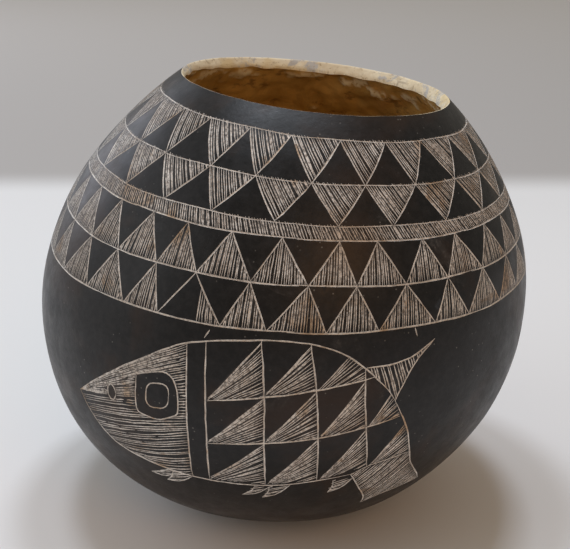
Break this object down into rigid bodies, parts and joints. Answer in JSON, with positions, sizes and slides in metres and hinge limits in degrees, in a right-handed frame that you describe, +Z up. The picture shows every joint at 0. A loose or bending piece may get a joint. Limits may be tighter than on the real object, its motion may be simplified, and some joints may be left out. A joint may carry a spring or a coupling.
{
  "type": "dried bottle gourd",
  "caption": "Dried bottle gourd opened into a round bowl: a thin hard shell with a wide mouth, a flat it stands on, and dark skin scratched with hatched bands and a fish.",
  "frame": {"origin": "under the middle of the bowl, in the plane of the flat that it stands on", "axes": "+Z up as the bowl stands, +X the side that the mouth leans towards, -Y the side with the fish"},
  "size_m": [0.1648, 0.1636, 0.1492],
  "materials": {
    "dark_skin": "satin",
    "scratched_lines": "matte",
    "cut_rim": "matte",
    "inside_wall": "matte"
  },
  "bodies": {
    "root": {"gourd_shell": "dark_skin"}
  },
  "joints": []
}
